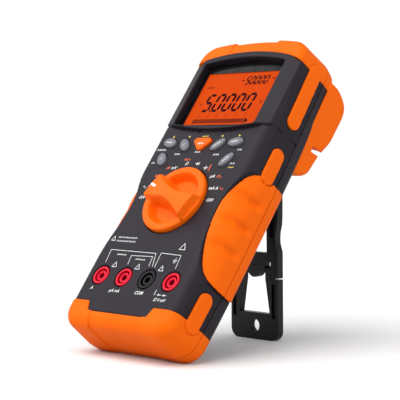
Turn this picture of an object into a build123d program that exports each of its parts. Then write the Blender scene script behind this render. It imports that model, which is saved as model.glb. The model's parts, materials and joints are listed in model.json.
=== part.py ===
from build123d import *
import math
import os

# Hand-held digital multimeter standing on its folding rear stand.
#
# Every piece is drawn in the case frame, in millimetres: x runs across the face, y runs up the face from
# the bottom end, and z points out of the face, with z = 0 on the jack panel. At the end the whole meter is
# leant back and its origin is put under its middle, with +Z up.

# ---- overall size ----
LENGTH = 203.5          # bottom end to the crown of the top end
GRIP_HALF = 47.2        # half the width, over the grips
PARTING_Z = -23.0       # plane where the front and rear halves meet
REAR_Z = -33.0          # flat rear face
LEAN = 53.0             # degrees between the floor and the length of the case

# ---- plan outline at the parting plane ----
BOTTOM_HALF = 44.2
WAIST_HALF = 46.4
WAIST_Y = 100.0
TOP_HALF = 42.6
TOP_SIDE_Y = 198.6
BOTTOM_CORNER_R = 12.0
TOP_CORNER_R = 14.0
FRONT_DRAFT = 0.07      # inward lean of the side walls, per millimetre towards the face
REAR_DRAFT = 0.15       # the same, towards the rear

# ---- walls ----
HARD_INSET = 0.35       # hard case below the rubber surface, where both show
CORE_INSET = 2.4        # hard case underneath the rubber
CORE_FILLET = 4.6       # rounding of its front edge, inside the rounded rubber
CAVITY_INSET = 4.8      # inner wall of the shells
FACE_THICKNESS = 2.4
REAR_THICKNESS = 2.0
SPLIT_GAP = 0.25        # open line between the front and rear mouldings
FAR = 80.0              # reach of tools that cut right through the case

# ---- display housing ----
RIDGE_X = 33.0          # top of the raised frame around the lens
RIDGE_Z = 2.4
FOLD_X = 41.6           # where the frame's slope meets the side wall
FOLD_Z = -1.2
FACE_HALF = 37.5        # flat width of the jack panel
SHOULDER_X = 44.8       # side end of the rounded shoulder beside the jack panel
SHOULDER_Z = -10.0
HOUSING_LOW_Y = 133.2   # lowest point of the curved groove below the display
HOUSING_SIDE_Y = 140.6  # where that groove reaches the sides
GROOVE_WIDTH = 0.9
GROOVE_DEPTH = 1.0
LENS_Z = -0.6
LENS_THICKNESS = 1.4
LENS_HALF_X = 32.4
LENS_LOW_Y = 136.4
LENS_LOW_SIDE_Y = 138.0
LENS_HIGH_Y = 187.0
LENS_HIGH_SIDE_Y = 183.2
LCD_HALF_X = 29.4
LCD_LOW_Y = 140.2
LCD_HIGH_Y = 178.8

# ---- rubber bumpers ----
ARCH_Y = 191.3          # crown of the edge between the top bumper and the case
ARCH_SIDE_Y = 182.3
TOP_BUMPER_Z = 1.6
BOTTOM_BUMPER_Z = 0.5
BOTTOM_EDGE_Y = 16.6
NOTCH_Y = 10.8
NOTCH_HALF_LOW = 23.8
NOTCH_HALF_HIGH = 26.4
PAD_HEIGHT = 0.8
TOP_PAD_X = 17.6
BOTTOM_PAD_X = 20.5

# ---- side ribs: rubber bars along the side walls ----
RIB_Z = -14.0
RIB_HALF = 4.6
RIB_HEIGHT = 0.8
TOP_RIB = (145.5, 190.0)
GRIP_RIB = (107.5, 130.5)
BOTTOM_RIB = (11.5, 35.5)

# ---- grips ----
GRIP_LOW_Y = 38.5
GRIP_HIGH_Y = 111.5
GRIP_EDGE = [(48.6, 111.2), (44.0, 109.0), (38.6, 99.0), (35.2, 88.0), (34.8, 77.0),
             (36.4, 64.0), (39.6, 51.0), (43.4, 42.5), (48.6, 38.6)]
GRIP_ARC = [(30.5, 0.3), (42.0, -4.8), (46.9, -17.0)]
GRIP_THICKNESS = 2.2
FINGER_YS = (62.0, 78.0, 94.0)
FINGER_R = 5.6
FINGER_DEPTH = 1.3
GRIP_REAR_X = 38.5      # inner edge of the grip where it wraps onto the rear face
MOAT = 0.7              # width and depth of the shadow line around a rib that crosses other rubber

# ---- selector knob ----
KNOB_Y = 85.3
KNOB_R = 21.6
KNOB_RIM_Z = 2.8
KNOB_TOP_Z = 8.4
SCOOP_R = 18.3
SHAFT_R = 6.0
ROTOR_R = 17.0
POSITION_STEP = 20.0
POINTER_ANGLE = 160.0   # degrees from +x: the second of the ten positions
DETENT_POSITIONS = 10

# ---- keys ----
KEY_TRAVEL = 0.8
KEY_HEIGHT = 1.4
KEY_CLEARANCE = 0.25
KEYS = {                # name: (x, y, half length, half width, turn in degrees)
    "key_first": (-28.4, 125.1, 5.1, 3.2, -8.0),
    "key_second": (-15.3, 123.5, 4.9, 3.1, -48.0),
    "key_fourth": (11.5, 123.9, 5.5, 2.7, 42.0),
    "key_fifth": (24.5, 125.7, 5.5, 2.9, 8.0),
    "key_low_left": (-28.3, 113.2, 4.8, 3.2, -58.0),
    "key_low_right": (24.0, 113.4, 5.5, 2.7, 52.0),
}
SHIFT_KEY = (-1.8, 124.6)

# ---- input jacks ----
JACK_PITCH = 19.05
JACK_Y = 33.5
JACKS = {"jack_amp": -1.5, "jack_milliamp": -0.5, "jack_common": 0.5, "jack_volt": 1.5}
JACK_BORE_R = 2.0
JACK_SOCKET_R = 2.5
JACK_POST_R = 3.1
JACK_SHROUD_R = 4.3
JACK_SLEEVE_R = 5.5
JACK_RECESS_R = 6.5
JACK_RECESS_DEPTH = 1.2
JACK_BORE_LENGTH = 17.0
JACK_SOCKET_Z = -2.6

# ---- boards and inner parts ----
BOARD_TOP_Z = -8.0
BOARD_THICKNESS = 1.6
TRAY_FLOOR_Z = -13.2
BAY_HALF_X = 30.6
BAY_LOW_Y = 45.0
BAY_HIGH_Y = 110.0
WALL = 1.6
COVER_GAP = 0.25
CASE_SCREWS = [(-35.6, 21.8), (35.6, 21.8), (-14.0, 186.6), (14.0, 186.6)]
BOARD_SCREWS = [(-34.5, 58.0), (34.5, 58.0), (-37.0, 134.0), (37.0, 134.0)]
SCREW_R = 1.2
SCREW_HEAD_R = 2.7
BOSS_R = 3.4
BOSS_END_Z = -25.5
BATTERY = ((-13.2, 47.0, -31.0), (13.2, 95.5, -13.5))
FUSE_R = 5.15
FUSE_X = 22.6
FUSE_Z = -20.2
FUSES = {"fuse_amp": (-1, 38.0), "fuse_milliamp": (1, 35.0)}
FUSE_MID_Y = 72.0
COVER_SCREW_Y = 104.6
WELL_R = 22.1
WELL_Z = -2.7
WELL_FLOOR = 1.5
ROTOR_Z = -6.2

# ---- probe holders behind the case ----
WING_OUTER_X = 43.6
WING_INNER_X = 31.4
PROBE_R = 4.4
PROBE_X = 37.0
PROBE_Z = -45.6
WING_SLOT_Y = 150.2
WING_SLOT_WIDTH = 3.4

# ---- stand ----
PIVOT_Y = 147.6
PIVOT_Z = -36.6
STAND_HALF = 19.0
STAND_THICKNESS = 4.6
STAND_WINDOW_HALF = 10.2
STAND_WAIST_HALF = 17.6
STAND_PIN_R = 1.6
HUB_R = 3.3
EAR_WIDTH = 3.6
EAR_GAP = 0.3
TIP_GAP_Y = 36.6        # height of the gap at the tip hinge, above the foot
TIP_PIVOT_Y = 42.0
TIP_GAP = 0.7           # open line between the legs and the tip
TIP_PIN_R = 1.1
KNUCKLE_HALF = (9.0, 13.0)
TIP_BASE = 16.0
FOOT_CORNER_R = 6.0
HANG_HOLE_R = 4.0
HANG_HOLE_Y = 8.2
PIN_CLEARANCE = 0.05


# ---------------------------------------------------------------- shapes that several pieces share

def circle_through(p, q, r):
    """Centre and radius of the circle through three points."""
    turn = 2 * (p[0] * (q[1] - r[1]) + q[0] * (r[1] - p[1]) + r[0] * (p[1] - q[1]))
    squares = [x * x + y * y for x, y in (p, q, r)]
    cx = (squares[0] * (q[1] - r[1]) + squares[1] * (r[1] - p[1]) + squares[2] * (p[1] - q[1])) / turn
    cy = (squares[0] * (r[0] - q[0]) + squares[1] * (p[0] - r[0]) + squares[2] * (q[0] - p[0])) / turn
    return (cx, cy), math.hypot(p[0] - cx, p[1] - cy)


def plan_outline(inset=0.0):
    """Barrel-shaped plan of the case, drawn in by inset all round, as a face on z = 0."""
    (side_x, side_y), side_r = circle_through((BOTTOM_HALF, 0), (WAIST_HALF, WAIST_Y), (TOP_HALF, TOP_SIDE_Y))
    (_, crown_y), crown_r = circle_through((TOP_HALF, TOP_SIDE_Y), (0, LENGTH), (-TOP_HALF, TOP_SIDE_Y))
    side_r -= inset
    crown_r -= inset
    low = (side_x + math.sqrt(side_r ** 2 - (inset - side_y) ** 2), inset)
    waist = (side_x + side_r, side_y)
    span = math.hypot(side_x, crown_y - side_y)
    along = (side_r ** 2 - crown_r ** 2 + span ** 2) / (2 * span)
    across = math.sqrt(side_r ** 2 - along ** 2)
    unit = (-side_x / span, (crown_y - side_y) / span)
    high = (side_x + along * unit[0] - across * unit[1], side_y + along * unit[1] + across * unit[0])
    with BuildSketch() as plan:
        with BuildLine():
            Line((-low[0], inset), low)
            ThreePointArc(low, waist, high)
            ThreePointArc(high, (0, crown_y + crown_r), (-high[0], high[1]))
            ThreePointArc((-high[0], high[1]), (-waist[0], waist[1]), (-low[0], inset))
        make_face()
        fillet(plan.vertices().group_by(Axis.Y)[0], BOTTOM_CORNER_R - inset)
        fillet(plan.vertices().group_by(Axis.Y)[-1], TOP_CORNER_R - inset)
    return plan.sketch.faces()[0]


def drafted_block(inset, front_z, rear_z, front_fillet=0.0, rear_fillet=0.0):
    """Solid between front_z and rear_z whose walls lean inwards both ways from the parting plane."""
    front = plan_outline(inset + FRONT_DRAFT * (front_z - PARTING_Z)).moved(Pos(0, 0, front_z))
    middle = plan_outline(inset).moved(Pos(0, 0, PARTING_Z))
    rear = plan_outline(inset + REAR_DRAFT * (PARTING_Z - rear_z)).moved(Pos(0, 0, rear_z))
    block = loft([middle, front], ruled=True) + loft([rear, middle], ruled=True)
    if front_fillet:
        block = fillet(block.faces().sort_by(Axis.Z)[-1].edges(), front_fillet)
    if rear_fillet:
        block = fillet(block.faces().sort_by(Axis.Z)[0].edges(), rear_fillet)
    return block


def prism(points, low_z=-FAR, high_z=FAR):
    """Upright prism over a closed polygon in the xy plane."""
    face = make_face(Polyline(*points, close=True))
    return extrude(face.moved(Pos(0, 0, low_z)), high_z - low_z, dir=(0, 0, 1))


def arch_zone(side_y, crown_y, height=FAR * 2, low_z=-FAR, high_z=FAR):
    """Everything above an arc that crosses the case from side to side."""
    half = 47.5
    arc = ThreePointArc((-half, side_y), (0, crown_y), (half, side_y))
    top_y = side_y + height
    right = [(half, side_y), (FAR, side_y), (FAR, top_y)]
    rim = Polyline(*right, *[(-x, y) for x, y in reversed(right)])
    face = make_face(arc.edges() + rim.edges())
    return extrude(face.moved(Pos(0, 0, low_z)), high_z - low_z, dir=(0, 0, 1))


def section_prism(edges, low_y, high_y):
    """Prism along y over a closed outline whose points are (x, z)."""
    face = make_face(edges).rotate(Axis.X, 90)
    return extrude(face.moved(Pos(0, high_y, 0)), high_y - low_y, dir=(0, -1, 0))


def side_prism(face, x_from, x_to):
    """Prism along x over a face drawn as (y, z)."""
    turned = Plane.YZ * face
    return extrude(turned.moved(Pos(x_from, 0, 0)), x_to - x_from, dir=(1, 0, 0))


def both_sides(piece):
    """The piece and its mirror image across the middle plane."""
    return piece + piece.mirror(Plane.YZ)


def slab(low, high):
    """Box between two corners."""
    size = [high[i] - low[i] for i in range(3)]
    centre = [(high[i] + low[i]) / 2 for i in range(3)]
    return Pos(*centre) * Box(*size)


def disc(x, y, radius, low_z, high_z):
    return Pos(x, y, (low_z + high_z) / 2) * Cylinder(radius, high_z - low_z)


def bar_x(y, z, radius, x_from, x_to):
    """Cylinder along x."""
    return Pos((x_from + x_to) / 2, y, z) * Rot(0, 90, 0) * Cylinder(radius, x_to - x_from)


# ---------------------------------------------------------------- case surfaces and rubber zones

def over_panel(drop=0.0):
    """Tool that takes everything above the jack panel and its rounded shoulders."""
    arc_mid = (FACE_HALF + 5.6, -4.0 - drop)
    edges = [
        Line((-FACE_HALF, -drop), (FACE_HALF, -drop)),
        ThreePointArc((FACE_HALF, -drop), arc_mid, (SHOULDER_X, SHOULDER_Z - drop)),
        Polyline((SHOULDER_X, SHOULDER_Z - drop), (SHOULDER_X + 1.2, -30), (FAR, -30), (FAR, FAR),
                 (-FAR, FAR), (-FAR, -30), (-SHOULDER_X - 1.2, -30), (-SHOULDER_X, SHOULDER_Z - drop)),
        ThreePointArc((-SHOULDER_X, SHOULDER_Z - drop), (-arc_mid[0], arc_mid[1]), (-FACE_HALF, -drop)),
    ]
    return section_prism([e for part in edges for e in part.edges()], -FAR, LENGTH + FAR)


def over_housing():
    """Tool that takes everything above the sloping frame of the display housing."""
    side = [(RIDGE_X, RIDGE_Z), (FOLD_X, FOLD_Z), (43.0, -3.6), (47.0, -14.0), (FAR, -14.0), (FAR, FAR)]
    points = [(-x, z) for x, z in reversed(side)] + side
    return section_prism(Polyline(*points, close=True).edges(), -FAR, LENGTH + FAR)


def rib_tool(span, sign):
    """Stadium-shaped bar that crosses one side wall."""
    low, high = span
    face = Pos((low + high) / 2, RIB_Z) * SlotOverall(high - low, 2 * RIB_HALF)
    return side_prism(face, 30 * sign, FAR * sign)


housing_zone = arch_zone(HOUSING_SIDE_Y, HOUSING_LOW_Y)
top_zone = arch_zone(ARCH_SIDE_Y, ARCH_Y)
bottom_zone = prism([(-FAR, -FAR), (FAR, -FAR), (FAR, BOTTOM_EDGE_Y), (NOTCH_HALF_HIGH, BOTTOM_EDGE_Y),
                     (NOTCH_HALF_LOW, NOTCH_Y), (-NOTCH_HALF_LOW, NOTCH_Y),
                     (-NOTCH_HALF_HIGH, BOTTOM_EDGE_Y), (-FAR, BOTTOM_EDGE_Y)])
front_half = slab((-FAR, -FAR, PARTING_Z + SPLIT_GAP / 2), (FAR, LENGTH + FAR, FAR))
rear_half = slab((-FAR, -FAR, -FAR), (FAR, LENGTH + FAR, PARTING_Z - SPLIT_GAP / 2))


def grip_section(shrink=0.0):
    """Solid under the grips' curved surface, both sides, along the whole grip."""
    top, mid, low = [(x - shrink * fx, z - shrink * fz) for (x, z), (fx, fz) in
                     zip(GRIP_ARC, [(0.0, 1.0), (0.7, 0.7), (1.0, 0.1)])]
    half = GRIP_HALF - shrink
    outer = ThreePointArc(top, mid, low)
    side = Polyline(low, (half, PARTING_Z), (half - 0.5, PARTING_Z - 4))
    foot = (half - 6.5, REAR_Z + shrink)
    corner = ThreePointArc((half - 0.5, PARTING_Z - 4), (half - 2.3, REAR_Z + 2.0), foot)
    inner = Polyline(foot, (20, REAR_Z + shrink), (20, top[1]), top)
    section = section_prism([e for part in (outer, side, corner, inner) for e in part.edges()],
                            GRIP_LOW_Y - 4, GRIP_HIGH_Y + 4)
    return section


def grip_zone():
    """Plan region of the right grip, cut through the case."""
    edge = Spline(*GRIP_EDGE)
    rim = Polyline(GRIP_EDGE[-1], (FAR, GRIP_EDGE[-1][1]), (FAR, GRIP_EDGE[0][1]), GRIP_EDGE[0])
    face = make_face(edge.edges() + rim.edges())
    zone = extrude(face.moved(Pos(0, 0, -FAR)), 2 * FAR, dir=(0, 0, 1))
    rear_limit = slab((30, GRIP_LOW_Y - 4, -FAR), (GRIP_REAR_X, GRIP_HIGH_Y + 4, -28))
    return zone - rear_limit


def rib(span, sign):
    """Rubber bar standing proud of one side wall, down to the hard case underneath."""
    bar = rib_tool(span, sign) & drafted_block(-RIB_HEIGHT, 3.0, REAR_Z)
    return bar - drafted_block(CORE_INSET, -1.0, REAR_Z + 2)


def moat(span, sign):
    """Shallow channel around a rib, cut into the rubber that the rib runs into."""
    low, high = span
    face = Pos((low + high) / 2, RIB_Z) * SlotOverall(high - low + 2 * MOAT, 2 * (RIB_HALF + MOAT))
    ring = side_prism(face, 30 * sign, FAR * sign) - rib_tool(span, sign)
    return ring - drafted_block(MOAT, -1.0, REAR_Z + 2)


def make_grip():
    """Right grip with its finger grooves and the rib that overlaps it, before it is split."""
    grip = (grip_section() & grip_zone()) - grip_section(GRIP_THICKNESS)
    for y in FINGER_YS:
        place_groove = Pos(GRIP_HALF + FINGER_R - FINGER_DEPTH, y, -12.5) * Rot(0, -14, 0)
        grip = grip - place_groove * Cylinder(FINGER_R, 11.0)
        for end in (-5.5, 5.5):
            grip = grip - place_groove * Pos(0, 0, end) * Sphere(FINGER_R)
    return grip - moat(GRIP_RIB, 1) + rib(GRIP_RIB, 1)


def make_wing():
    """Right probe holder: a lobe behind the case with a channel along it and a slot for the probe's guard."""
    profile = make_face([
        Spline((190.6, -28.5), (191.0, -36.0), (187.0, -45.6), (179.0, -49.2),
               tangents=[(0.1, -1), (-1, -0.15)]),
        Line((179.0, -49.2), (165.0, -49.0)),
        Spline((165.0, -49.0), (152.0, -46.0), (138.0, -43.6), tangents=[(-1, 0), (-1, 0.12)]),
        Spline((138.0, -43.6), (132.4, -41.0), (128.4, -34.0), (127.4, -28.5)),
        Line((127.4, -28.5), (190.6, -28.5)),
    ])
    wing = side_prism(profile, WING_INNER_X, WING_OUTER_X)
    outer_rim = [e for e in wing.faces().sort_by(Axis.X)[-1].edges() if e.center().Z < -29]
    wing = fillet(outer_rim, 2.6)
    inner_rim = [e for e in wing.faces().sort_by(Axis.X)[0].edges() if e.center().Z < -29]
    wing = fillet(inner_rim, 1.2)
    channel = Pos(PROBE_X, 150.0, PROBE_Z) * Rot(90, 0, 0) * Cylinder(PROBE_R, 56.0)
    mouth = slab((PROBE_X - PROBE_R + 0.8, 122.0, -FAR), (PROBE_X + PROBE_R - 0.8, 178.0, PROBE_Z))
    slot = Pos(0, WING_SLOT_Y, -45.0) * Rot(14, 0, 0) * Box(2 * FAR, WING_SLOT_WIDTH, 17.0)
    return wing - channel - mouth - slot


# ---------------------------------------------------------------- case halves and rubber

def hard_shape(core):
    """Outside of the hard case, front and rear together: it drops to the core under the bumpers."""
    shape = drafted_block(HARD_INSET, RIDGE_Z, REAR_Z, 0.0, 4.6)
    shape = shape - (over_panel() - housing_zone) - (over_housing() & housing_zone)
    shape = shape - both_sides(grip_zone() - grip_section(GRIP_THICKNESS))
    groove = (housing_zone - Pos(0, GROOVE_WIDTH, 0) * housing_zone) & front_half
    shape = shape - (groove & over_panel(GROOVE_DEPTH))
    shape = shape - (groove - drafted_block(HARD_INSET + GROOVE_DEPTH, RIDGE_Z, REAR_Z))
    return shape - (top_zone - core) - (bottom_zone - core)


def cavity(extra=0.0):
    """Room inside the case, drawn in by extra on every wall."""
    room = drafted_block(CAVITY_INSET + extra, -FACE_THICKNESS - extra, REAR_Z + REAR_THICKNESS + extra)
    room = room - over_panel(FACE_THICKNESS + extra)
    grip_wall = grip_zone() - grip_section(GRIP_THICKNESS + 1.8 + extra)
    return room - both_sides(grip_wall)


def raised_pads(block, pad_x, keep_low_y, keep_high_y, drop_y):
    """Bumper block whose middle is sunk between the corner pads."""
    middle = slab((-pad_x, keep_low_y, -FAR), (pad_x, keep_high_y, FAR))
    return block - (middle - Pos(0, drop_y, -PAD_HEIGHT) * block)


def make_rubber(core):
    """Bumpers and grips, whole, before they are split at the parting plane."""
    top = drafted_block(0.0, TOP_BUMPER_Z, REAR_Z, 4.5, 5.0)
    top = raised_pads(top, TOP_PAD_X, ARCH_SIDE_Y, LENGTH + FAR, -PAD_HEIGHT) & top_zone
    low = drafted_block(0.0, BOTTOM_BUMPER_Z, REAR_Z, 7.0, 5.0)
    low = raised_pads(low, BOTTOM_PAD_X, -FAR, BOTTOM_EDGE_Y, PAD_HEIGHT) & bottom_zone
    for sign in (1, -1):
        top = top - moat(TOP_RIB, sign)
        low = low - moat(BOTTOM_RIB, sign)
    top = top - core
    low = low - core
    for sign in (1, -1):
        top = top + rib(TOP_RIB, sign)
        low = low + rib(BOTTOM_RIB, sign)
    wings = both_sides(make_wing() - core)
    grip = make_grip()
    return {"top_bumper": top + wings, "bottom_bumper": low, "grip_right": grip,
            "grip_left": grip.mirror(Plane.YZ)}


def lens_plan(inset=0.0):
    """Plan of the lens recess: straight sides, an arched top and a bowed bottom."""
    x = LENS_HALF_X
    with BuildSketch() as plan:
        with BuildLine():
            ThreePointArc((-x, LENS_LOW_SIDE_Y), (0, LENS_LOW_Y), (x, LENS_LOW_SIDE_Y))
            Line((x, LENS_LOW_SIDE_Y), (x, LENS_HIGH_SIDE_Y))
            ThreePointArc((x, LENS_HIGH_SIDE_Y), (0, LENS_HIGH_Y), (-x, LENS_HIGH_SIDE_Y))
            Line((-x, LENS_HIGH_SIDE_Y), (-x, LENS_LOW_SIDE_Y))
        make_face()
        fillet(plan.vertices(), 2.0)
        if inset:
            offset(amount=-inset, kind=Kind.INTERSECTION)
    return plan.sketch.faces()[0]


def lens_solid(low_z, high_z, inset=0.0):
    return extrude(lens_plan(inset).moved(Pos(0, 0, low_z)), high_z - low_z, dir=(0, 0, 1))


def key_plan(name, grow=0.0):
    """Plan of one key cap."""
    x, y, long_half, short_half, turn = KEYS[name]
    return Pos(x, y, 0) * Rot(0, 0, turn) * Ellipse(long_half + grow, short_half + grow)


def shift_plan(grow=0.0):
    """Shield-shaped plan of the shift key."""
    x, y = SHIFT_KEY
    face = Polygon((-7.2, 1.4), (-5.6, 3.9), (5.2, 3.9), (7.0, 1.4), (1.2, -4.6), (-1.2, -4.6), align=None)
    face = fillet(face.vertices(), 0.9)
    if grow:
        face = offset(face, grow, kind=Kind.ARC)
    return Pos(x, y, 0) * face


def all_key_plans(grow=0.0):
    plans = {name: key_plan(name, grow) for name in KEYS}
    plans["key_shift"] = shift_plan(grow)
    return plans


def raised(plan, low_z, high_z):
    return extrude(Pos(0, 0, low_z) * plan, high_z - low_z, dir=(0, 0, 1))


def jack_x(name):
    return JACKS[name] * JACK_PITCH


def make_front_case(hard, room, rubber):
    """Front half: face, display housing, knob well and bosses."""
    shell = (hard & front_half) - room
    well_z = WELL_Z - WELL_FLOOR
    shell = shell + disc(0, KNOB_Y, WELL_R + 1.8, well_z, -FACE_THICKNESS)
    shell = shell - disc(0, KNOB_Y, WELL_R, WELL_Z, 10) - disc(0, KNOB_Y, SHAFT_R + PIN_CLEARANCE, -10, 10)
    shell = shell - lens_solid(LENS_Z - LENS_THICKNESS - 0.3, 20)
    shell = shell - slab((-LCD_HALF_X - 1, LCD_LOW_Y - 1, -20), (LCD_HALF_X + 1, LCD_HIGH_Y + 1, 20))
    for plan in all_key_plans(KEY_CLEARANCE).values():
        shell = shell - raised(plan, -4, 4)
    for name in JACKS:
        shell = shell - disc(jack_x(name), JACK_Y, JACK_RECESS_R, -JACK_RECESS_DEPTH, 5)
        shell = shell - disc(jack_x(name), JACK_Y, JACK_SLEEVE_R + PIN_CLEARANCE, -10, 5)
    for x, y in CASE_SCREWS:
        boss = disc(x, y, BOSS_R, BOSS_END_Z, -FACE_THICKNESS)
        shell = shell + (boss - disc(x, y, SCREW_R + PIN_CLEARANCE, BOSS_END_Z, -8))
    for x, y in BOARD_SCREWS:
        boss = disc(x, y, 2.6, BOARD_TOP_Z, -FACE_THICKNESS) & drafted_block(CAVITY_INSET - 1, -1, REAR_Z)
        shell = shell + (boss - disc(x, y, SCREW_R + PIN_CLEARANCE, BOARD_TOP_Z, -4))
    for solid in rubber:
        shell = shell - solid
    return shell


def ear(sign):
    """Lug on the rear case that carries the stand's pin."""
    profile = make_face(Polyline((PIVOT_Y - 8, REAR_Z + 1), (PIVOT_Y - 3.4, PIVOT_Z - 2.2),
                                 (PIVOT_Y + 3.4, PIVOT_Z - 2.2), (PIVOT_Y + 8, REAR_Z + 1), close=True))
    start = STAND_HALF + EAR_GAP
    end = start + EAR_WIDTH
    lug = side_prism(profile, start, end) + bar_x(PIVOT_Y, PIVOT_Z, 4.0, start, end)
    lug = lug - bar_x(PIVOT_Y, PIVOT_Z, STAND_PIN_R, start - 1, start + EAR_WIDTH - 1.0)
    return lug if sign > 0 else lug.mirror(Plane.YZ)


def make_rear_case(hard, room, rubber):
    """Rear half: battery bay, screw posts and the stand's lugs."""
    shell = (hard & rear_half) - room
    outer = slab((-BAY_HALF_X - WALL, BAY_LOW_Y - WALL, REAR_Z + 0.5),
                 (BAY_HALF_X + WALL, BAY_HIGH_Y + WALL, TRAY_FLOOR_Z + WALL))
    shell = shell + outer
    shell = shell - slab((-BAY_HALF_X, BAY_LOW_Y, -FAR), (BAY_HALF_X, BAY_HIGH_Y, TRAY_FLOOR_Z))
    cover_room = slab((-BAY_HALF_X - 1, BAY_LOW_Y - 1, -FAR), (BAY_HALF_X + 1, BAY_HIGH_Y + 1, REAR_Z + 1.8))
    shell = shell - cover_room
    screw_post = slab((-5, COVER_SCREW_Y - 3, REAR_Z + 2.0), (5, BAY_HIGH_Y + 0.5, TRAY_FLOOR_Z + 0.5))
    shell = shell + (screw_post - disc(0, COVER_SCREW_Y, SCREW_R + 0.3, -FAR, -22))
    for x, y in CASE_SCREWS:
        shell = shell + disc(x, y, BOSS_R, REAR_Z + 1, BOSS_END_Z - 0.1)
        shell = shell - disc(x, y, SCREW_R + 0.3, -FAR, 0)
        shell = shell - disc(x, y, SCREW_HEAD_R + 0.2, -FAR, REAR_Z + 3.0)
    window = Pos(0, 172, 0) * RectangleRounded(22, 9, 2)
    shell = shell - raised(window, -FAR, REAR_Z + 6)
    lead_hole = disc(0, BAY_HIGH_Y - 3.4, 2.2, -FAR, 0) & slab((-4, 100, -14), (4, 112, -10))
    shell = shell + ear(1) + ear(-1) - lead_hole
    for solid in rubber:
        shell = shell - solid
    return shell


# ---------------------------------------------------------------- display, keys and board

def make_display():
    """Lens, mask, liquid-crystal cell, backlight, its frame and the contact strips."""
    lens_low = LENS_Z - LENS_THICKNESS
    aperture = slab((-LCD_HALF_X, LCD_LOW_Y, -20), (LCD_HALF_X, LCD_HIGH_Y, 20))
    frame = slab((-33.6, 134.6, -7.9), (33.6, 182.6, -2.5)) - slab((-31.6, 138.4, -20), (31.6, 180.8, 20))
    strips = [slab((-29, y, -7.95), (29, y + 1.6, -4.75)) for y in (136.0, 181.0)]
    for strip in strips:
        frame = frame - strip
    cell = slab((-31.5, 135.8, -4.7), (31.5, 182.5, -2.55))
    frame = frame - cell
    return {
        "display_lens": lens_solid(lens_low, LENS_Z, 0.15),
        "display_mask": lens_solid(lens_low - 0.28, lens_low, 0.15) - aperture,
        "lcd_cell": slab((-31.4, 135.9, -4.7), (31.4, 182.4, -2.6)),
        "lcd_backlight": slab((-31.4, 138.6, -7.8), (31.4, 180.6, -4.8)),
        "lcd_frame": frame,
        "contact_strips": Compound(children=strips),
    }


def make_key(name, plan):
    """Key cap with a domed rim, a retaining flange and a foot over its switch."""
    cap = raised(plan, -2.5, KEY_HEIGHT)
    cap = fillet(cap.faces().sort_by(Axis.Z)[-1].edges(), 0.7)
    centre = cap.center()
    wide = shift_plan(0.8) if name == "key_shift" else key_plan(name, 0.8)
    flange = raised(wide, -3.3, -2.5)
    return cap + flange + disc(centre.X, centre.Y, 1.6, -5.6, -3.3)


def make_knob():
    """Selector knob: dished disc with a waisted finger bar that ends in the pointer."""
    knob = disc(0, 0, KNOB_R, WELL_Z + 0.3, KNOB_RIM_Z)
    knob = fillet(knob.faces().sort_by(Axis.Z)[-1].edges(), 1.3)
    dish_r = 34.0
    dish = Pos(0, 0, -1.6 + dish_r) * Sphere(dish_r) & disc(0, 0, SCOOP_R, -5, 10)
    bowl = dish + loft([Pos(0, 0, 0.2) * Circle(SCOOP_R - 1.6), Pos(0, 0, 3.4) * Circle(SCOOP_R + 0.6)])
    knob = knob - bowl
    low = bar_plan(8.4, 5.6, 20.4)
    high = bar_plan(5.6, 3.0, 18.6)
    bar = loft([Pos(0, 0, -1.9) * low, Pos(0, 0, KNOB_TOP_Z) * high])
    bar = bar - Pos(20.0, 0, 11.4) * Rot(0, 15, 0) * Box(40, 60, 8.0)
    bar = bar & disc(0, 0, KNOB_R - 1.6, -5, 20)
    nose = Pos(KNOB_R - 2.6, 0, 2.0) * Box(8.0, 7.6, 3.6)
    nose = fillet(nose.edges().filter_by(Axis.Z), 1.6)
    knob = knob + bar + nose + disc(0, 0, SHAFT_R, ROTOR_Z, WELL_Z + 0.5)
    return Pos(0, KNOB_Y, 0) * Rot(0, 0, POINTER_ANGLE) * knob


def bar_plan(end_half, waist_half, reach):
    """Hourglass outline of the finger bar, along x."""
    upper = Spline((-reach, end_half), (-reach / 2, (end_half + waist_half) / 2 - 0.4), (0, waist_half),
                   (reach / 2, (end_half + waist_half) / 2 - 0.4), (reach, end_half))
    lower = Spline((-reach, -end_half), (-reach / 2, -(end_half + waist_half) / 2 + 0.4), (0, -waist_half),
                   (reach / 2, -(end_half + waist_half) / 2 + 0.4), (reach, -end_half))
    ends = [Line((reach, end_half), (reach, -end_half)), Line((-reach, -end_half), (-reach, end_half))]
    return make_face([upper, lower] + ends)


def make_jack(name):
    """Shrouded 4 mm input jack: coloured sleeve with an insulated post in the middle."""
    x = jack_x(name)
    sleeve = disc(x, JACK_Y, JACK_SLEEVE_R, -21.5, -0.2) + disc(x, JACK_Y, JACK_SLEEVE_R + 1.2, -4.2, -2.5)
    sleeve = sleeve - (disc(x, JACK_Y, JACK_SHROUD_R, -14.0, 2) - disc(x, JACK_Y, JACK_POST_R, -14.0, -0.9))
    sleeve = sleeve - disc(x, JACK_Y, JACK_SOCKET_R, -21.5, JACK_SOCKET_Z)
    return sleeve - disc(x, JACK_Y, JACK_BORE_R, -4, 2)


def make_sockets():
    """Metal tubes inside the four jacks, closed at the bottom."""
    top_z = JACK_SOCKET_Z
    tubes = []
    for name in JACKS:
        tube = disc(jack_x(name), JACK_Y, JACK_SOCKET_R, top_z - JACK_BORE_LENGTH - 1.4, top_z)
        tubes.append(tube - disc(jack_x(name), JACK_Y, JACK_BORE_R, top_z - JACK_BORE_LENGTH, top_z + 1))
    return Compound(children=tubes)


def make_keypad():
    """Rubber keypad sheet on the board, with one dome under each key."""
    sheet = slab((-36, 106.2, BOARD_TOP_Z + 0.05), (36, 131.0, BOARD_TOP_Z + 0.6))
    for plan in all_key_plans().values():
        centre = plan.center()
        sheet = sheet + disc(centre.X, centre.Y, 2.6, BOARD_TOP_Z + 0.5, -5.6 - KEY_TRAVEL - 0.1)
    return sheet


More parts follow.
